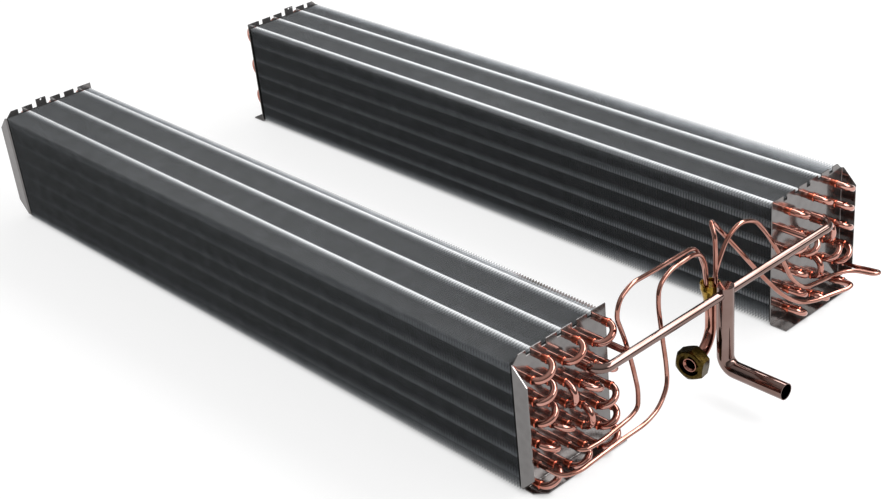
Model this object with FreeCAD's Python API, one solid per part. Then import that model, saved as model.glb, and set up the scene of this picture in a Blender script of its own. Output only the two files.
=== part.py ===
import FreeCAD, Part
import math
import os

# Twin-slab evaporator coil: two finned slabs side by side, joined at the
# right-hand end by one suction header and one liquid distributor.
# X runs along the coil tubes, Y across the slabs, Z up. The slabs mirror
# each other in Y = 0. The origin is the middle of the footprint at the feet.
# All sizes are in millimetres.

# Coil tubes, staggered: every second column sits half a row lower
tube_diameter = 9.52
row_pitch = 31.75
column_pitch = 27.5
row_count = 6
column_count = 6
tube_end_reach = 19.5        # bare tube beyond the right end plate
hairpin_straight = 7.0       # bare tube beyond the left end plate
high_tube_drop = 5.6         # fin top down to the first tube of the even columns

# Finned slabs
coil_length = 1240.0         # over the two end plates
slab_gap = 349.0             # free space between the slabs
fin_pitch = 5.0
fin_thickness = 0.25
end_fin_gap = 3.0            # from an end plate to the fin beside it
fin_lift = 0.5               # fins above the foot sheet

# Folded end plates
sheet = 1.5
fold_radius = 1.5            # inside each fold
plate_margin = 2.5           # plate beyond the fins, each side
tab_rise = 8.5               # tabs above the fins
tall_tab_rise = 5.0          # the hanging tab above the others
tab_gap = 8.5
hanging_hole_diameter = 3.5
top_corner_chamfer = 10.0
flange_width = 24.5
flange_chamfer = 22.0
foot_width = 28.0
foot_chamfer = 14.0
fold_relief = 4.0            # notch where flange and foot would meet
tube_hole_clearance = 0.1

# Suction side
header_diameter = 12.7
header_bend_radius = 18.0
coupling_diameter = 14.6
coupling_length = 19.0
coupling_overlap = 2.5       # coupling slid over the coil tube end
riser_diameter = 24.0
riser_wall = 1.1
riser_reach = 54.5           # header and riser beyond the right end plate
riser_head = 10.0            # riser above the header's axis
riser_cap_thickness = 1.5
outlet_height = 40.0
outlet_bend_radius = 18.5
outlet_end_reach = 155.5

# Liquid side
distributor_reach = 25.0
distributor_offset = 5.5     # sideways from the middle plane
distributor_top = 157.5
distributor_diameter = 28.8
distributor_rim_height = 8.0
distributor_cone_height = 18.0
distributor_cup_depth = 3.0
distributor_cup_wall = 1.3
distributor_neck_wall = 2.0  # brass round the inlet tube's socket
distributor_neck_length = 2.0
distributor_outlet_circle = 17.0
socket_depth = 6.0
socket_clearance = 0.1
inlet_tube_diameter = 16.0
inlet_tube_wall = 1.0
inlet_bend_radius = 36.0
inlet_drop = 64.4            # distributor top down to the inlet bend
inlet_turn = 8.0             # degrees the inlet faces away from the slab
inlet_straight = 20.3        # straight end that carries the union nut
flare_diameter = 20.0        # flared tube end that holds the nut
flare_length = 2.5
flare_setback = 2.0          # flare behind the nut's face
nut_across_flats = 42.0
nut_length = 20.0
nut_face_diameter = 39.5     # round face inside the corner chamfers
nut_chamfer_angle = 30.0
nut_mouth_diameter = 31.0
nut_turn = 30.0              # degrees the nut is turned about its own axis
nut_mouth_depth = 7.0
liquid_tube_diameter = 6.35
liquid_tube_rise = 4.0       # straight above the distributor's rim

# Which tube ends the return bends join: column counted from the slab's
# outer side, row counted from the top
return_bends = [
    ((1, 0), (2, 0)), ((3, 0), (4, 0)), ((5, 0), (6, 0)), ((1, 1), (2, 1)),
    ((1, 2), (2, 2)), ((3, 1), (3, 2)), ((4, 2), (5, 2)), ((4, 3), (4, 4)),
    ((5, 3), (6, 3)), ((5, 4), (6, 4)), ((2, 3), (3, 3)), ((1, 3), (2, 4)),
    ((3, 5), (4, 5)), ((1, 5), (2, 5)), ((5, 1), (6, 2)), ((5, 5), (6, 5)),
]
header_end = (4, 1)          # the header bends into this tube end
branch_end = (6, 1)          # a short branch joins this one
inner_feed = (3, 4)
outer_feed = (1, 4)

# Routes of the liquid tubes, from the distributor to a coil tube. A point
# is its reach beyond the end plate, its share of the way across, and its
# height above that coil tube.
liquid_routes = {
    "rear_outer_liquid_tube": (90, 1, outer_feed, [
        (25, 0.023, 136), (25, 0.086, 167), (26, 0.171, 180), (27, 0.27, 170),
        (28, 0.351, 140), (31, 0.414, 106), (34, 0.459, 79), (38, 0.495, 50),
        (42, 0.576, 24), (42, 0.72, 17), (42, 0.828, 13), (50, 0.927, 8),
        (80, 0.965, 6), (83, 1.01, 4), (56, 1.009, 1), (40, 1.0, 0)]),
    "rear_inner_liquid_tube": (0, 1, inner_feed, [
        (33, 0.004, 164), (31, 0.008, 187), (17, 0.034, 203), (14, 0.125, 176),
        (18, 0.21, 147), (28, 0.34, 98), (34, 0.407, 73), (40, 0.497, 43),
        (43, 0.571, 24), (47, 0.666, 7), (54, 0.772, 1), (60, 0.888, 0),
        (69, 0.973, 1), (69, 1.025, 2), (54, 1.02, 1), (40, 1.0, 0)]),
    "front_inner_liquid_tube": (180, -1, inner_feed, [
        (16, 0.005, 134), (18, 0.051, 163), (23, 0.122, 181), (27, 0.264, 185),
        (32, 0.425, 189), (39, 0.617, 196), (42, 0.713, 186), (43, 0.742, 164),
        (41, 0.688, 127), (40, 0.638, 81), (41, 0.606, 35), (42, 0.615, 10),
        (42, 0.669, 3), (43, 0.76, 1), (46, 0.882, 0), (42, 1.0, 0)]),
    "front_outer_liquid_tube": (270, -1, outer_feed, [
        (24, 0.002, 146), (25, 0.035, 166), (27, 0.096, 174), (31, 0.249, 175),
        (34, 0.328, 164), (37, 0.346, 139), (41, 0.343, 98), (48, 0.345, 54),
        (54, 0.361, 27), (59, 0.43, 6), (64, 0.53, 0), (64, 0.675, 0),
        (66, 0.828, 0), (68, 0.93, 0), (58, 1.0, 0)]),
}

# Worked out from the sizes above
tube_radius = tube_diameter / 2
fin_height = row_count * row_pitch
fin_depth = column_count * column_pitch
fin_bottom = sheet + fin_lift
fin_top = fin_bottom + fin_height
plate_depth = fin_depth + 2 * plate_margin
slab_middle = slab_gap / 2 + plate_depth / 2
left_reach = max(flange_width, foot_width,
                 hairpin_straight + row_pitch / 2 + tube_radius)
left_face = -(coil_length + outlet_end_reach - left_reach) / 2
right_face = left_face + coil_length
slab_signs = {"front": -1, "rear": 1}


def vec(x, y, z):
    return FreeCAD.Vector(x, y, z)


def column_offset(column):
    """Distance of a column from the slab's middle, towards its outer side."""
    return ((column_count + 1) / 2 - column) * column_pitch


def tube_height(column, row):
    """Height of a tube: odd columns start half a row under the even ones."""
    drop = high_tube_drop if column % 2 == 0 else high_tube_drop + row_pitch / 2
    return fin_top - drop - row * row_pitch


def tube_place(sign, column, row):
    """Y and Z of a coil tube in the slab on this side."""
    return sign * (slab_middle + column_offset(column)), tube_height(column, row)


def rod(start, end, diameter):
    """A straight round bar between two points."""
    run = end.sub(start)
    return Part.makeCylinder(diameter / 2, run.Length, start, run)


def unit(vector):
    return FreeCAD.Vector(vector).normalize()


def line_and_arc_path(points, radii):
    """Straight runs joined by tangent arcs, one radius per inner point."""
    edges = []
    start = points[0]
    for before, corner, after, radius in zip(points, points[1:], points[2:], radii):
        towards, away = unit(corner.sub(before)), unit(after.sub(corner))
        turn = towards.getAngle(away)
        back = radius * math.tan(turn / 2)
        arc_start = corner.sub(towards * back)
        arc_end = corner.add(away * back)
        middle_way = unit(away.sub(towards))
        centre = corner.add(middle_way * (radius / math.cos(turn / 2)))
        arc_middle = centre.sub(middle_way * radius)
        if arc_start.sub(start).Length > 1e-6:
            edges.append(Part.LineSegment(start, arc_start).toShape())
        edges.append(Part.Arc(arc_start, arc_middle, arc_end).toShape())
        start = arc_end
    if points[-1].sub(start).Length > 1e-6:
        edges.append(Part.LineSegment(start, points[-1]).toShape())
    return Part.Wire(edges)


def round_section(wire, radius):
    """A circle square to the start of a path."""
    edge = wire.Edges[0]
    start = edge.valueAt(edge.FirstParameter)
    return Part.Wire(Part.makeCircle(radius, start, edge.tangentAt(edge.FirstParameter)))


def swept_bar(points, radii, diameter):
    """A solid round bar along runs and arcs."""
    wire = line_and_arc_path(points, radii)
    return wire.makePipeShell([round_section(wire, diameter / 2)], True, False)


def widest_radii(points):
    """The largest arc that each corner's two runs leave room for."""
    radii = []
    for before, corner, after in zip(points, points[1:], points[2:]):
        first, second = corner.sub(before), after.sub(corner)
        turn = first.getAngle(second)
        radii.append(0.45 * min(first.Length, second.Length) / math.tan(turn / 2))
    return radii


def end_plate(sign, end):
    """A folded tube sheet: web with tabs, outer flange and foot."""
    face = right_face if end > 0 else left_face
    outer, inner = plate_depth / 2, -plate_depth / 2
    bend = fold_radius + sheet
    tab_top = fin_top + tab_rise
    web_bottom = bend

    # Outline in the plate's own axes: a towards the outer side, b up
    outline = [(inner, web_bottom), (inner, tab_top)]
    for column in range(column_count, 1, -1):
        gap_middle = column_offset(column) + column_pitch / 2
        low, high = gap_middle - tab_gap / 2, gap_middle + tab_gap / 2
        outline += [(low, tab_top), (low, fin_top), (high, fin_top), (high, tab_top)]
    outline += [(outer - bend - top_corner_chamfer, tab_top),
                (outer - bend, tab_top - top_corner_chamfer),
                (outer - bend, web_bottom)]
    corners = [vec(-sheet, a, b) for a, b in outline]
    corners.append(corners[0])
    web = Part.Face(Part.makePolygon(corners)).extrude(vec(sheet, 0, 0))
    if end < 0:
        tab_middle = column_offset(3)
        tab_width = column_pitch - tab_gap
        hanging_tab = Part.makeBox(sheet, tab_width, tall_tab_rise,
                                   vec(-sheet, tab_middle - tab_width / 2, tab_top))
        hole_height = tab_top + tall_tab_rise / 2
        hole = Part.makeCylinder(hanging_hole_diameter / 2, 3 * sheet,
                                 vec(-2 * sheet, tab_middle, hole_height), vec(1, 0, 0))
        web = web.fuse(hanging_tab).cut(hole)

    # Outer flange: quarter-round fold, then the chamfered strip
    flange_top = tab_top - top_corner_chamfer
    flange_foot = bend + fold_relief
    flange_rise = flange_top - flange_foot
    fold_axis = vec(fold_radius, outer - bend, flange_foot)
    fold = quarter_fold(fold_axis, flange_rise)
    strip = Part.Face(Part.makePolygon([
        vec(fold_radius, outer, flange_foot),
        vec(flange_width - flange_chamfer, outer, flange_foot),
        vec(flange_width, outer, flange_foot + flange_chamfer),
        vec(flange_width, outer, flange_top - flange_chamfer),
        vec(flange_width - flange_chamfer, outer, flange_top),
        vec(fold_radius, outer, flange_top),
        vec(fold_radius, outer, flange_foot)])).extrude(vec(0, -sheet, 0))

    # Foot: the same fold turned on its side, then a strip on the ground
    foot_length = plate_depth - bend - fold_relief
    foot_fold = quarter_fold(vec(0, 0, 0), foot_length)
    foot_fold.rotate(vec(0, 0, 0), vec(1, 0, 0), 90)
    foot_end = inner + foot_length
    foot_fold = foot_fold.mirror(vec(0, 0, 0), vec(0, 0, 1))
    foot_fold.translate(vec(fold_radius, foot_end, bend))
    foot = Part.Face(Part.makePolygon([
        vec(fold_radius, inner, 0),
        vec(foot_width, inner, 0),
        vec(foot_width, foot_end - foot_chamfer, 0),
        vec(foot_width - foot_chamfer, foot_end, 0),
        vec(fold_radius, foot_end, 0),
        vec(fold_radius, inner, 0)])).extrude(vec(0, 0, sheet))
    plate = web.fuse([fold, strip, foot_fold, foot]).removeSplitter()

    hole_radius = tube_radius + tube_hole_clearance
    holes = [Part.makeCylinder(hole_radius, 3 * sheet,
                               vec(-2 * sheet, column_offset(column),
                                   tube_height(column, row)), vec(1, 0, 0))
             for column in range(1, column_count + 1) for row in range(row_count)]
    plate = plate.cut(Part.Compound(holes))
    if end < 0:
        plate = plate.mirror(vec(0, 0, 0), vec(1, 0, 0))
    if sign < 0:
        plate = plate.mirror(vec(0, 0, 0), vec(0, 1, 0))
    plate.translate(vec(face, sign * slab_middle, 0))
    return plate


def quarter_fold(axis_point, length):
    """A quarter-round fold of the sheet along Z, from -X round to +Y."""
    outer_round = Part.makeCylinder(fold_radius + sheet, length, axis_point,
                                    vec(0, 0, 1), 90)
    inner_round = Part.makeCylinder(fold_radius, length, axis_point, vec(0, 0, 1), 90)
    fold = outer_round.cut(inner_round)
    fold.rotate(axis_point, vec(0, 0, 1), 90)
    return fold


def fin_pack(sign):
    """The slab's fins, one thin plate each."""
    first = left_face + sheet + end_fin_gap
    last = right_face - sheet - end_fin_gap - fin_thickness
    gaps = math.floor((last - first) / fin_pitch + 1e-6)
    margin = (last - first - gaps * fin_pitch) / 2
    low_side = sign * slab_middle - fin_depth / 2
    return [Part.makeBox(fin_thickness, fin_depth, fin_height,
                         vec(first + margin + count * fin_pitch, low_side, fin_bottom))
            for count in range(gaps + 1)]


def hairpins(sign):
    """Long U tubes: two rows of one column, bent at the left end."""
    bend_radius = row_pitch / 2
    bend_start = left_face - hairpin_straight
    bend_end = bend_start - bend_radius
    tube_end = right_face + tube_end_reach
    tubes = []
    for column in range(1, column_count + 1):
        for row in range(0, row_count - 1, 2):
            y, top = tube_place(sign, column, row)
            bottom = top - row_pitch
            middle = (top + bottom) / 2
            wire = Part.Wire([
                Part.LineSegment(vec(tube_end, y, top), vec(bend_start, y, top)).toShape(),
                Part.Arc(vec(bend_start, y, top), vec(bend_end, y, middle),
                         vec(bend_start, y, bottom)).toShape(),
                Part.LineSegment(vec(bend_start, y, bottom),
                                 vec(tube_end, y, bottom)).toShape()])
            tubes.append(wire.makePipeShell([round_section(wire, tube_radius)], True, False))
    return tubes


def return_bend(sign, first, second):
    """A half-round bend brazed onto two tube ends."""
    start_y, start_z = tube_place(sign, *first)
    end_y, end_z = tube_place(sign, *second)
    x = right_face + tube_end_reach
    start, end = vec(x, start_y, start_z), vec(x, end_y, end_z)
    radius = end.sub(start).Length / 2
    crown = start.add(end) * 0.5
    crown.x = x + radius
    wire = Part.Wire([Part.Arc(start, crown, end).toShape()])
    section = Part.Wire(Part.makeCircle(tube_radius, start, vec(1, 0, 0)))
    return wire.makePipeShell([section], True, False)


def riser_core():
    """The round space that the riser fills."""
    header_z = tube_height(*header_end)
    top = header_z + riser_head
    return rod(vec(right_face + riser_reach, 0, outlet_height + outlet_bend_radius),
               vec(right_face + riser_reach, 0, top), riser_diameter)


def suction_header(sign):
    """Half of the header: from the riser, then a bend back to the coil."""
    y, z = tube_place(sign, *header_end)
    line = right_face + riser_reach
    coupling_end = right_face + tube_end_reach - coupling_overlap + coupling_length
    bar = swept_bar([vec(line, 0, z), vec(line, y, z), vec(coupling_end, y, z)],
                    [header_bend_radius], header_diameter)
    return bar.cut(riser_core())


def header_coupling(sign):
    """The sleeve that steps the coil tube up to the header."""
    y, z = tube_place(sign, *header_end)
    tube_end = right_face + tube_end_reach
    start = tube_end - coupling_overlap
    sleeve = rod(vec(start, y, z), vec(start + coupling_length, y, z), coupling_diameter)
    return sleeve.cut(rod(vec(start, y, z), vec(tube_end, y, z), tube_diameter))


def header_branch(sign):
    """The short tube from the other outlet end to the header's side."""
    y, z = tube_place(sign, *branch_end)
    start = right_face + tube_end_reach
    line = right_face + riser_reach
    stub = rod(vec(start, y, z), vec(line, y, z), tube_diameter)
    span = header_diameter
    return stub.cut(rod(vec(line, y - span, z), vec(line, y + span, z), header_diameter))


def suction_riser():
    """The riser and its outlet: one tube, bent once, open at the outlet."""
    x = right_face + riser_reach
    top = tube_height(*header_end) + riser_head
    points = [vec(x, 0, top), vec(x, 0, outlet_height),
              vec(right_face + outlet_end_reach, 0, outlet_height)]
    outside = swept_bar(points, [outlet_bend_radius], riser_diameter)
    inside = swept_bar(points, [outlet_bend_radius], riser_diameter - 2 * riser_wall)
    return outside.cut(inside)


def riser_cap():
    """The flat cap brazed onto the riser's top."""
    x = right_face + riser_reach
    top = tube_height(*header_end) + riser_head
    return Part.makeCylinder(riser_diameter / 2, riser_cap_thickness, vec(x, 0, top))


def distributor_axis():
    return vec(right_face + distributor_reach, distributor_offset, distributor_top)


def outlet_place(angle):
    """Where a liquid tube leaves the distributor's cup floor."""
    radius = distributor_outlet_circle / 2
    away = vec(radius * math.cos(math.radians(angle)),
               radius * math.sin(math.radians(angle)), -distributor_cup_depth)
    return distributor_axis().add(away)


def distributor_body():
    """The brass cone that splits the liquid four ways."""
    outer = distributor_diameter / 2
    neck = inlet_tube_diameter / 2
    bottom = -(distributor_rim_height + distributor_cone_height)
    socket = neck + socket_clearance
    neck_outer = neck + distributor_neck_wall
    profile = Part.makePolygon([
        vec(0, 0, bottom + socket_depth), vec(socket, 0, bottom + socket_depth),
        vec(socket, 0, bottom), vec(neck_outer, 0, bottom),
        vec(neck_outer, 0, bottom + distributor_neck_length), vec(outer, 0, -distributor_rim_height),
        vec(outer, 0, 0), vec(outer - distributor_cup_wall, 0, 0),
        vec(outer - distributor_cup_wall, 0, -distributor_cup_depth),
        vec(0, 0, -distributor_cup_depth), vec(0, 0, bottom + socket_depth)])
    body = Part.Face(profile).revolve(vec(0, 0, 0), vec(0, 0, 1), 360)
    body.translate(distributor_axis())
    for angle, _, _, _ in liquid_routes.values():
        mouth = outlet_place(angle)
        body = body.cut(rod(mouth, mouth.sub(vec(0, 0, socket_depth)),
                            liquid_tube_diameter + 2 * socket_clearance))
    return body


def inlet_points():
    """The inlet tube's corner points: down, then out towards the nut."""
    top = distributor_axis().sub(vec(0, 0, distributor_rim_height
                                     + distributor_cone_height - socket_depth))
    corner = distributor_axis().sub(vec(0, 0, inlet_drop + inlet_bend_radius))
    way = vec(math.sin(math.radians(inlet_turn)), -math.cos(math.radians(inlet_turn)), 0)
    return top, corner, corner.add(way * (inlet_bend_radius + inlet_straight)), way


def flare(end, way, small_radius, large_radius):
    """The cone of the flared end, widening from the tube outwards."""
    return Part.makeCone(small_radius, large_radius, flare_length,
                         end.sub(way * flare_length), way)


def liquid_inlet_tube():
    """The tube from the flared end in the nut up into the distributor."""
    top, corner, end, way = inlet_points()
    radius = inlet_tube_diameter / 2
    bore_radius = radius - inlet_tube_wall
    outside = swept_bar([top, corner, end], [inlet_bend_radius], 2 * radius)
    bore = swept_bar([top, corner, end], [inlet_bend_radius], 2 * bore_radius)
    widening = flare_diameter / 2 - radius
    outside = outside.fuse(flare(end, way, radius, flare_diameter / 2))
    return outside.cut(bore).cut(flare(end, way, bore_radius, bore_radius + widening))


def union_nut():
    """The hexagon nut held by the flare, open towards the liquid line."""
    _, _, end, way = inlet_points()
    corner_radius = nut_across_flats / math.sqrt(3)
    corners = [vec(corner_radius * math.cos(math.radians(nut_turn + 60 * side)),
                   corner_radius * math.sin(math.radians(nut_turn + 60 * side)), 0)
               for side in range(7)]
    nut = Part.Face(Part.makePolygon(corners)).extrude(vec(0, 0, nut_length))
    face_radius = nut_face_diameter / 2
    slope = math.tan(math.radians(nut_chamfer_angle))
    beyond = corner_radius + 1 - face_radius
    turned = Part.Face(Part.makePolygon([
        vec(0, 0, 0), vec(face_radius, 0, 0),
        vec(face_radius + beyond, 0, beyond * slope),
        vec(face_radius + beyond, 0, nut_length - beyond * slope),
        vec(face_radius, 0, nut_length), vec(0, 0, nut_length), vec(0, 0, 0)]))
    nut = nut.common(turned.revolve(vec(0, 0, 0), vec(0, 0, 1), 360))
    nut = nut.cut(Part.makeCylinder(inlet_tube_diameter / 2 + socket_clearance, nut_length))
    nut = nut.cut(Part.makeCylinder(nut_mouth_diameter / 2, nut_mouth_depth,
                                    vec(0, 0, nut_length - nut_mouth_depth)))
    nut.Placement = FreeCAD.Placement(
        end.add(way * (flare_setback - nut_length)),
        FreeCAD.Rotation(vec(0, 0, 1), way))
    return nut


def liquid_tube(angle, sign, feed, route):
    """A distributor tube: from the cup, over the top and down to its feed."""
    feed_y, feed_z = tube_place(sign, *feed)
    feed_x = right_face + tube_end_reach
    mouth = outlet_place(angle)
    points = [mouth.sub(vec(0, 0, socket_depth - socket_clearance)),
              mouth.add(vec(0, 0, distributor_cup_depth + liquid_tube_rise))]
    for reach, share, height in route:
        points.append(vec(right_face + reach,
                          mouth.y + share * (feed_y - mouth.y), feed_z + height))
    points.append(vec(feed_x, feed_y, feed_z))
    radii = widest_radii(points)
    print("smallest liquid tube bend", round(min(radii), 1))
    return swept_bar(points, radii, liquid_tube_diameter)


def build():
    """Every node's solids, by name."""
    nodes = {}
    for slab, sign in slab_signs.items():
        nodes[slab + "_left_end_plate"] = [end_plate(sign, -1)]
        nodes[slab + "_right_end_plate"] = [end_plate(sign, 1)]
        nodes[slab + "_fins"] = fin_pack(sign)
        nodes[slab + "_hairpin_tubes"] = hairpins(sign)
        nodes[slab + "_return_bends"] = [return_bend(sign, *pair) for pair in return_bends]
        nodes[slab + "_suction_header"] = [suction_header(sign)]
        nodes[slab + "_header_coupling"] = [header_coupling(sign)]
        nodes[slab + "_header_branch"] = [header_branch(sign)]
    nodes["suction_riser"] = [suction_riser()]
    nodes["riser_cap"] = [riser_cap()]
    nodes["liquid_distributor"] = [distributor_body()]
    nodes["liquid_inlet_tube"] = [liquid_inlet_tube()]
    nodes["union_nut"] = [union_nut()]
    for name, (angle, sign, feed, route) in liquid_routes.items():
        nodes[name] = [liquid_tube(angle, sign, feed, route)]
    return nodes


os.makedirs("parts", exist_ok=True)
for name, solids in build().items():
    shape = solids[0] if len(solids) == 1 else Part.Compound(solids)
    shape.exportStep("parts/" + name + ".step")
    print(name, len(shape.Solids), "solids", round(shape.Volume), "mm3")
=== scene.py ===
import math

import bpy
from mathutils import Matrix, Vector


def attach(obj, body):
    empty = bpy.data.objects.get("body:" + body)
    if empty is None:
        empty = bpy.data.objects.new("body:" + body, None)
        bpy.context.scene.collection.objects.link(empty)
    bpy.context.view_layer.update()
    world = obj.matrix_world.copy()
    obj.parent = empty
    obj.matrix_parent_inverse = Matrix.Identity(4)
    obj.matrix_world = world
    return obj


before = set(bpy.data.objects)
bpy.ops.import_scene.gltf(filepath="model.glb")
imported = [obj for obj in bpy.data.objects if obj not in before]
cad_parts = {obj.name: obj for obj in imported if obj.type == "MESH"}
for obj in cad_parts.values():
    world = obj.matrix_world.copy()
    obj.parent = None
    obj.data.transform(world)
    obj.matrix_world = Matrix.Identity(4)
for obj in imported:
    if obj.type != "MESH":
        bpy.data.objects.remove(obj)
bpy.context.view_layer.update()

print("frame loaded, nodes:", len(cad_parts))

# the coil's own sizes in metres, the same as in the part's source
coil = {
    "tubeRadius": 0.00476,
    "rowPitch": 0.03175,
    "columnPitch": 0.0275,
    "rows": 6,
    "columns": 6,
    "slabMiddle": 0.2595,      # from the middle plane to the middle of a slab
    "leftFace": -0.68375,      # outer face of the left end plates
    "rightFace": 0.55625,
    "finTop": 0.1925,
    "highTubeDrop": 0.0056,    # fin top down to the first tube of the even columns
    "tubeEndReach": 0.0195,
    "sheet": 0.0015,
}

# the two tubes that each return bend joins, as (column, row)
returnBends = [
    ((1, 0), (2, 0)), ((3, 0), (4, 0)), ((5, 0), (6, 0)), ((1, 1), (2, 1)),
    ((1, 2), (2, 2)), ((3, 1), (3, 2)), ((4, 2), (5, 2)), ((4, 3), (4, 4)),
    ((5, 3), (6, 3)), ((5, 4), (6, 4)), ((2, 3), (3, 3)), ((1, 3), (2, 4)),
    ((3, 5), (4, 5)), ((1, 5), (2, 5)), ((5, 1), (6, 2)), ((5, 5), (6, 5)),
]


def tubePlace(side, column, row):
    # column counted from the slab's outer side, row from the top
    offset = ((coil["columns"] + 1) / 2 - column) * coil["columnPitch"]
    stagger = 0 if column % 2 == 0 else coil["rowPitch"] / 2
    drop = coil["highTubeDrop"] + stagger
    return side * (coil["slabMiddle"] + offset), coil["finTop"] - drop - row * coil["rowPitch"]


# materials

def linearColour(hexText):
    # sRGB hex to the linear values that the shaders take
    parts = [int(hexText[i:i + 2], 16) / 255 for i in (1, 3, 5)]
    return [c / 12.92 if c <= 0.04045 else ((c + 0.055) / 1.055) ** 2.4 for c in parts] + [1.0]


def addNode(tree, kind, settings=None, links=None):
    # settings: property or input name to value; links: input name to an output socket
    node = tree.nodes.new(kind)
    for name, value in (settings or {}).items():
        if name in node.inputs:
            node.inputs[name].default_value = value
        else:
            setattr(node, name, value)
    for name, socket in (links or {}).items():
        tree.links.new(socket, node.inputs[name])
    return node


def newMaterial(name):
    material = bpy.data.materials.new(name)
    material.use_nodes = True
    material.node_tree.nodes.clear()
    return material, material.node_tree


def twoTones(tree, factor, low, high, lowAt=0.35, highAt=0.65):
    ramp = addNode(tree, "ShaderNodeValToRGB", links={"Fac": factor})
    ramp.color_ramp.elements[0].position = lowAt
    ramp.color_ramp.elements[0].color = linearColour(low)
    ramp.color_ramp.elements[1].position = highAt
    ramp.color_ramp.elements[1].color = linearColour(high)
    return ramp


surfaceMarks = {
    "depth": 0.0002,           # tool marks are finer in life; drawn deep and wide enough to show
    "detail": 2.0, "stainDetail": 3.0,
}


def drawnCopper(name, tones):
    # Copper tube, drawn through a die and left bare: a near mirror with long
    # soft stripes of light, and faint warm stains where hands and heat were
    material, tree = newMaterial(name)
    place = addNode(tree, "ShaderNodeTexCoord")
    stains = addNode(tree, "ShaderNodeTexNoise",
                     {"Scale": 1 / tones["stainSize"], "Detail": surfaceMarks["stainDetail"]},
                     {"Vector": place.outputs["Object"]})
    colour = twoTones(tree, stains.outputs["Fac"], tones["dark"], tones["light"])
    dieMarks = addNode(tree, "ShaderNodeTexNoise",
                       {"Scale": 1 / tones["markSize"], "Detail": surfaceMarks["detail"]},
                       {"Vector": place.outputs["Object"]})
    bump = addNode(tree, "ShaderNodeBump",
                   {"Strength": tones["bump"], "Distance": surfaceMarks["depth"]},
                   {"Height": dieMarks.outputs["Fac"]})
    shader = addNode(tree, "ShaderNodeBsdfPrincipled",
                     {"Metallic": 1.0, "Roughness": tones["roughness"]},
                     {"Base Color": colour.outputs["Color"], "Normal": bump.outputs["Normal"]})
    addNode(tree, "ShaderNodeOutputMaterial", links={"Surface": shader.outputs["BSDF"]})
    return material


copperTones = {
    "light": "#C6968A", "dark": "#B27A6C",
    "stainSize": 0.035,        # stains about 35 mm across
    "markSize": 0.003, "bump": 0.02, "roughness": 0.12,
}
# painted reflection: the bells' red tones stand in for copper mirrored in copper inside the joints
redReflectionBrazedTones = {
    "light": "#CC7058", "dark": "#B85A44",
    "stainSize": 0.006,        # small patches of painted red reflection
    "markSize": 0.002, "bump": 0.03, "roughness": 0.2,
}
# painted shade: a darker copy of the copper for the wide pipes
shadedPipeTones = {
    "light": "#86716B", "dark": "#776059",
    "stainSize": 0.05,         # broad stains; the wide pipes' darker, greyer tone is painted shade for the dim surroundings they mirror
    "markSize": 0.003, "bump": 0.02, "roughness": 0.1,
}
# painted shade: a darker copy of the copper for the thin feed tubes
shadedFeedTones = {
    "light": "#B48578", "dark": "#9C6A5C",
    "stainSize": 0.02,         # bent by hand, so handled more than the rest; the darker tone is painted shade for the dim surroundings the thin tubes mirror
    "markSize": 0.002, "bump": 0.02, "roughness": 0.1,
}
copperTube = drawnCopper("drawnCopper", copperTones)
shadedFeedTube = drawnCopper("handledShadedCopper", shadedFeedTones)
shadedCopperPipe = drawnCopper("shadedPipeCopper", shadedPipeTones)
redReflectionBrazedCopper = drawnCopper("redReflectionBrazedCopper", redReflectionBrazedTones)


def turnedBrass(name, tones):
    # Brass bar, turned and milled: a darker yellow metal that mirrors less
    # sharply than the tube, with fine rings left by the tool
    material, tree = newMaterial(name)
    place = addNode(tree, "ShaderNodeTexCoord")
    grain = addNode(tree, "ShaderNodeTexNoise",
                    {"Scale": 1 / tones["grainSize"], "Detail": surfaceMarks["detail"]},
                    {"Vector": place.outputs["Object"]})
    colour = twoTones(tree, grain.outputs["Fac"], tones["dark"], tones["light"])
    bump = addNode(tree, "ShaderNodeBump",
                   {"Strength": tones["bump"], "Distance": surfaceMarks["depth"]},
                   {"Height": grain.outputs["Fac"]})
    shader = addNode(tree, "ShaderNodeBsdfPrincipled",
                     {"Metallic": 1.0, "Roughness": tones["roughness"]},
                     {"Base Color": colour.outputs["Color"], "Normal": bump.outputs["Normal"]})
    addNode(tree, "ShaderNodeOutputMaterial", links={"Surface": shader.outputs["BSDF"]})
    return material


brassTones = {"light": "#A5853A", "dark": "#806426",
              "grainSize": 0.004, "bump": 0.04, "roughness": 0.2}
nutTones = {"light": "#4E3F1A", "dark": "#32270F",      # the nut is drawn in a much darker brass than the distributor
            "grainSize": 0.004, "bump": 0.04, "roughness": 0.22}
brassBody = turnedBrass("turnedBrass", brassTones)
brassNut = turnedBrass("darkerBrass", nutTones)


def galvanisedSheet(name, tones):
    # Steel sheet dipped in zinc and folded: a grey mirror with large soft
    # crystals, so that the copper shows in it a little clouded
    material, tree = newMaterial(name)
    place = addNode(tree, "ShaderNodeTexCoord")
    crystals = addNode(tree, "ShaderNodeTexVoronoi", {"Scale": 1 / tones["crystalSize"]},
                       {"Vector": place.outputs["Object"]})
    colour = twoTones(tree, crystals.outputs["Distance"], tones["dark"], tones["light"],
                      tones["darkAt"], tones["lightAt"])
    shader = addNode(tree, "ShaderNodeBsdfPrincipled",
                     {"Metallic": tones["metallic"], "Roughness": tones["roughness"]},
                     {"Base Color": colour.outputs["Color"]})
    addNode(tree, "ShaderNodeOutputMaterial", links={"Surface": shader.outputs["BSDF"]})
    return material


plateTones = {"light": "#848180", "dark": "#7B7877", "darkAt": 0.1, "lightAt": 0.9,
              "crystalSize": 0.012, "metallic": 0.8, "roughness": 0.12}
endPlateSheet = galvanisedSheet("galvanisedSteel", plateTones)


def rollMarks(tree, place, tones):
    marks = addNode(tree, "ShaderNodeTexNoise",
                    {"Scale": 1 / tones["markSize"], "Detail": surfaceMarks["detail"]},
                    {"Vector": place.outputs["Object"]})
    return twoTones(tree, marks.outputs["Fac"], tones["dark"], tones["light"])


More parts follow.
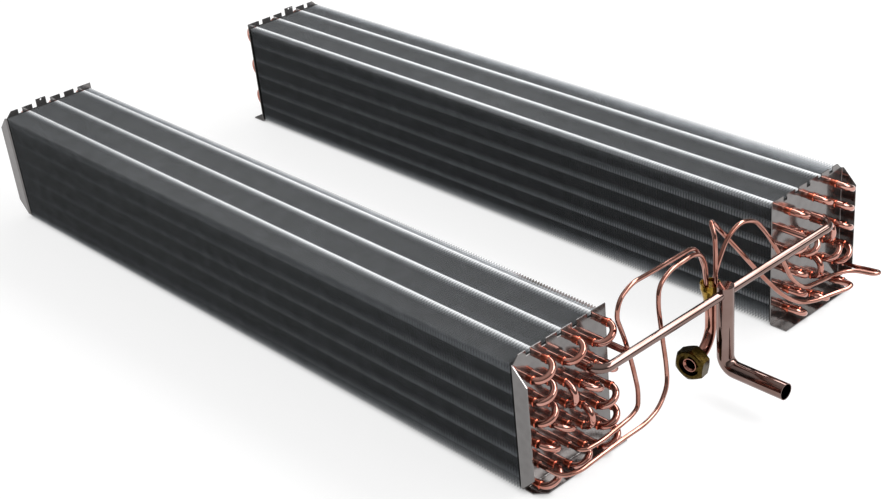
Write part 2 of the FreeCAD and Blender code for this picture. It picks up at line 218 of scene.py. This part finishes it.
def finAluminium(name, tones):
    # Fin strip: bright rolled aluminium; its cut edges are a little dull, and painted near black
    # as painted shade of the fin pack's faces. Close-set fins mirror each other, so the gaps show
    # a dim row of the tubes further in
    material, tree = newMaterial(name)
    place = addNode(tree, "ShaderNodeTexCoord")
    marks = rollMarks(tree, place, tones)
    axes = addNode(tree, "ShaderNodeSeparateXYZ", links={"Vector": place.outputs["Normal"]})
    facing = addNode(tree, "ShaderNodeMath", {"operation": "ABSOLUTE"})
    tree.links.new(axes.outputs["X"], facing.inputs[0])
    # a fin's faces look along X, its cut edges don't; the mix node's colours
    # are its inputs 6 and 7 and its output 2
    colour = addNode(tree, "ShaderNodeMix", {"data_type": "RGBA"})
    tree.links.new(facing.outputs[0], colour.inputs["Factor"])
    # painted shade: the cut edges take the near-black shadedCutEdge colour
    colour.inputs[6].default_value = linearColour(tones["shadedCutEdge"])
    tree.links.new(marks.outputs["Color"], colour.inputs[7])
    shader = addNode(tree, "ShaderNodeBsdfPrincipled",
                     {"Metallic": tones["metallic"], "Roughness": tones["roughness"]},
                     {"Base Color": colour.outputs[2]})
    addNode(tree, "ShaderNodeOutputMaterial", links={"Surface": shader.outputs["BSDF"]})
    return material


def collarAluminium(name, tones):
    # The drawn collar itself: stretched bright, with the press's fine marks, and drawn lighter
    # than the fin faces as painted light, so the rows of collars show bright through the gaps
    # between fins
    material, tree = newMaterial(name)
    place = addNode(tree, "ShaderNodeTexCoord")
    marks = rollMarks(tree, place, tones)
    shader = addNode(tree, "ShaderNodeBsdfPrincipled",
                     {"Metallic": tones["metallic"], "Roughness": tones["roughness"]},
                     {"Base Color": marks.outputs["Color"]})
    addNode(tree, "ShaderNodeOutputMaterial", links={"Surface": shader.outputs["BSDF"]})
    return material


finTones = {"light": "#D8DADC", "dark": "#D0D2D4", "shadedCutEdge": "#222426", "markSize": 0.02,
            "metallic": 0.84, "roughness": 0.13}
brightenedCollarTones = {"light": "#EEF0F1", "dark": "#E4E6E8", "markSize": 0.004,
               "metallic": 0.3, "roughness": 0.35}
finSheet = finAluminium("rolledAluminium", finTones)
brightenedCollarSheet = collarAluminium("drawnBrightenedCollar", brightenedCollarTones)

for nodeName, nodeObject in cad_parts.items():
    if nodeName.endswith("end_plate"):
        finish = endPlateSheet
    elif nodeName.endswith("fins"):
        finish = finSheet
    elif nodeName == "liquid_distributor":
        finish = brassBody
    elif nodeName == "union_nut":
        finish = brassNut
    elif nodeName in ("suction_riser", "riser_cap", "front_suction_header", "rear_suction_header"):
        finish = shadedCopperPipe
    elif nodeName.endswith("liquid_tube") or nodeName == "liquid_inlet_tube":
        finish = shadedFeedTube
    else:
        finish = copperTube
    nodeObject.data.materials.clear()
    nodeObject.data.materials.append(finish)
print("materials made")

# pieces

def latheAlongX(profile, centre, sides):
    # profile: (x, radius) pairs; gives the vertices and faces of one open sleeve
    verts, faces = [], []
    for x, radius in profile:
        for step in range(sides):
            angle = 2 * math.pi * step / sides
            verts.append((centre[0] + x, centre[1] + radius * math.cos(angle),
                          centre[2] + radius * math.sin(angle)))
    for ring in range(len(profile) - 1):
        for step in range(sides):
            a = ring * sides + step
            b = ring * sides + (step + 1) % sides
            faces.append((a, b, b + sides, a + sides))
    return verts, faces


def meshPiece(name, parts, material, creaseAngle=40):
    # joins several vertex and face lists into one object that rides on the coil
    verts, faces = [], []
    for partVerts, partFaces in parts:
        start = len(verts)
        verts += partVerts
        faces += [tuple(start + index for index in face) for face in partFaces]
    mesh = bpy.data.meshes.new(name)
    mesh.from_pydata(verts, [], faces)
    mesh.materials.append(material)
    mesh.shade_smooth()
    mesh.set_sharp_from_angle(angle=math.radians(creaseAngle))
    piece = bpy.data.objects.new(name, mesh)
    bpy.context.scene.collection.objects.link(piece)
    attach(piece, "root")
    return piece


collars = {"radius": 0.0055, "endGap": 0.0032, "sides": 20}


def finCollars(name, side):
    # the fins' drawn collars stand end to end and sleeve the tubes in bright metal
    inset = coil["sheet"] + collars["endGap"]
    length = coil["rightFace"] - coil["leftFace"] - 2 * inset
    start = coil["leftFace"] + inset
    parts = []
    for column in range(1, coil["columns"] + 1):
        for row in range(coil["rows"]):
            y, z = tubePlace(side, column, row)
            parts.append(latheAlongX([(0, collars["radius"]), (length, collars["radius"])],
                                     (start, y, z), collars["sides"]))
    return meshPiece(name, parts, brightenedCollarSheet)


joints = {
    "radius": 0.0056, "length": 0.008, "sides": 24,
    "taper": 0.0015,           # from the plain tube up to the bell
    "lip": 0.0004,             # how far the lip stands out from the bell
    "lipFrom": -0.001, "lipEdge": 0.0008, "lipTo": 0.0012,
    "brazeHeight": 0.0002, "brazeFrom": 0.0018, "brazeTo": 0.0026,
}


def bellJoints(name, side):
    # each tube end is widened to a bell that takes the return bend
    end = coil["rightFace"] + coil["tubeEndReach"]
    tube, bell = coil["tubeRadius"], joints["radius"]
    lip = bell + joints["lip"]
    profile = [(-joints["length"] - joints["taper"], tube), (-joints["length"], bell),
               (joints["lipFrom"], bell), (0, lip), (joints["lipEdge"], lip),
               (joints["lipTo"], bell), (joints["brazeFrom"], tube + joints["brazeHeight"]),
               (joints["brazeTo"], tube)]
    parts = []
    for pair in returnBends:
        for column, row in pair:
            y, z = tubePlace(side, column, row)
            parts.append(latheAlongX(profile, (end, y, z), joints["sides"]))
    return meshPiece(name, parts, redReflectionBrazedCopper)


for slabName, side in (("front", -1), ("rear", 1)):
    finCollars(slabName + "FinCollars", side)
    bellJoints(slabName + "BellJoints", side)
print("collars and joints made")

# studio

studio = {
    "floorSize": 40.0, "floorColour": "#8C8C8C", "floorGlow": 0.8,
    "floorDrop": 0.0005,       # the feet stay clear of the floor by this much
    "paintedShadowReach": 0.012,      # how near the coil the floor's glow fades, a painted contact shadow
    "skyLow": 0.16, "skyHigh": 0.6, "skyFrom": 0.3, "skyTo": 0.9,
    "lamps": [                 # place, aim, width, height, watts
        ((0.9, 1.95, 2.45), (0.5, 0.0, 0.1), 4.4, 1.0, 96),
        ((2.7, 1.3, 1.9), (0.5, 0.0, 0.1), 3.0, 1.5, 52),
        ((-2.4, 1.6, 1.9), (0.3, 0.0, 0.1), 1.6, 1.2, 16),
    ],
}


def makeFloor():
    size, drop = studio["floorSize"] / 2, studio["floorDrop"]
    mesh = bpy.data.meshes.new("studioFloor")
    mesh.from_pydata([(-size, -size, -drop), (size, -size, -drop),
                      (size, size, -drop), (-size, size, -drop)], [], [(0, 1, 2, 3)])
    floor = bpy.data.objects.new("studioFloor", mesh)
    bpy.context.scene.collection.objects.link(floor)
    material, tree = newMaterial("studioFloorPaint")
    # the camera and the metal see a white floor, but it lights nothing
    rays = addNode(tree, "ShaderNodeLightPath")
    seen = rays.outputs["Is Camera Ray"]
    for rayName in ("Is Glossy Ray", "Is Transmission Ray"):
        either = addNode(tree, "ShaderNodeMath", {"operation": "MAXIMUM"})
        tree.links.new(seen, either.inputs[0])
        tree.links.new(rays.outputs[rayName], either.inputs[1])
        seen = either.outputs[0]
    paint = addNode(tree, "ShaderNodeBsdfDiffuse", {"Color": linearColour(studio["floorColour"])})
    level = addNode(tree, "ShaderNodeMath", {"operation": "MULTIPLY"})
    tree.links.new(seen, level.inputs[0])
    level.inputs[1].default_value = studio["floorGlow"]
    # painted contact shadow: the glow fades right under the coil by ambient occlusion
    paintedShadow = addNode(tree, "ShaderNodeAmbientOcclusion", {"Distance": studio["paintedShadowReach"]})
    glow = addNode(tree, "ShaderNodeEmission", links={"Color": paintedShadow.outputs["Color"],
                                                      "Strength": level.outputs[0]})
    both = addNode(tree, "ShaderNodeAddShader")
    tree.links.new(paint.outputs[0], both.inputs[0])
    tree.links.new(glow.outputs[0], both.inputs[1])
    addNode(tree, "ShaderNodeOutputMaterial", links={"Surface": both.outputs[0]})
    mesh.materials.append(material)


def makeWorld():
    # a plain studio: dim at the horizon, lighter overhead
    world = bpy.data.worlds.new("studioWorld")
    world.use_nodes = True
    tree = world.node_tree
    tree.nodes.clear()
    place = addNode(tree, "ShaderNodeTexCoord")
    axes = addNode(tree, "ShaderNodeSeparateXYZ", links={"Vector": place.outputs["Generated"]})
    level = addNode(tree, "ShaderNodeMapRange",
                    {"From Min": studio["skyFrom"], "From Max": studio["skyTo"],
                     "To Min": studio["skyLow"], "To Max": studio["skyHigh"]},
                    {"Value": axes.outputs["Z"]})
    sky = addNode(tree, "ShaderNodeBackground", {"Color": linearColour("#FFFFFF")},
                  {"Strength": level.outputs[0]})
    addNode(tree, "ShaderNodeOutputWorld", links={"Surface": sky.outputs[0]})
    bpy.context.scene.world = world


def makeLamps():
    for number, (place, aim, width, height, watts) in enumerate(studio["lamps"]):
        lampName = "softbox%d" % number
        light = bpy.data.lights.new(lampName, "AREA")
        light.shape = "RECTANGLE"
        light.size = width
        light.size_y = height
        light.energy = watts
        lamp = bpy.data.objects.new(lampName, light)
        lamp.location = place
        lamp.rotation_euler = (Vector(aim) - Vector(place)).to_track_quat("-Z", "Y").to_euler()
        bpy.context.scene.collection.objects.link(lamp)


makeFloor()
makeWorld()
makeLamps()
print("studio made")

# camera

# fitted to the straight edges of both slabs
view = {
    "place": (1.7089, -1.3895, 1.1939),
    "ahead": (-0.63837, 0.58263, -0.50302),
    "right": (0.70244, 0.70818, -0.07118),
    "lens": 62.6, "sensor": 36.0, "shiftX": -0.0783, "shiftY": 0.0535,
    "near": 0.01, "far": 100,
}


def makeCamera():
    ahead, right = Vector(view["ahead"]).normalized(), Vector(view["right"]).normalized()
    up = right.cross(ahead).normalized()
    right = ahead.cross(up).normalized()
    turn = Matrix((right, up, -ahead)).transposed().to_4x4()
    lens = bpy.data.cameras.new("photoCamera")
    lens.lens = view["lens"]
    lens.sensor_width = view["sensor"]
    lens.shift_x = view["shiftX"]
    lens.shift_y = view["shiftY"]
    lens.clip_start = view["near"]
    lens.clip_end = view["far"]
    camera = bpy.data.objects.new("photoCamera", lens)
    camera.matrix_world = Matrix.Translation(view["place"]) @ turn
    bpy.context.scene.collection.objects.link(camera)
    bpy.context.scene.camera = camera


makeCamera()
bpy.context.scene.view_settings.view_transform = "Standard"
print("camera made")
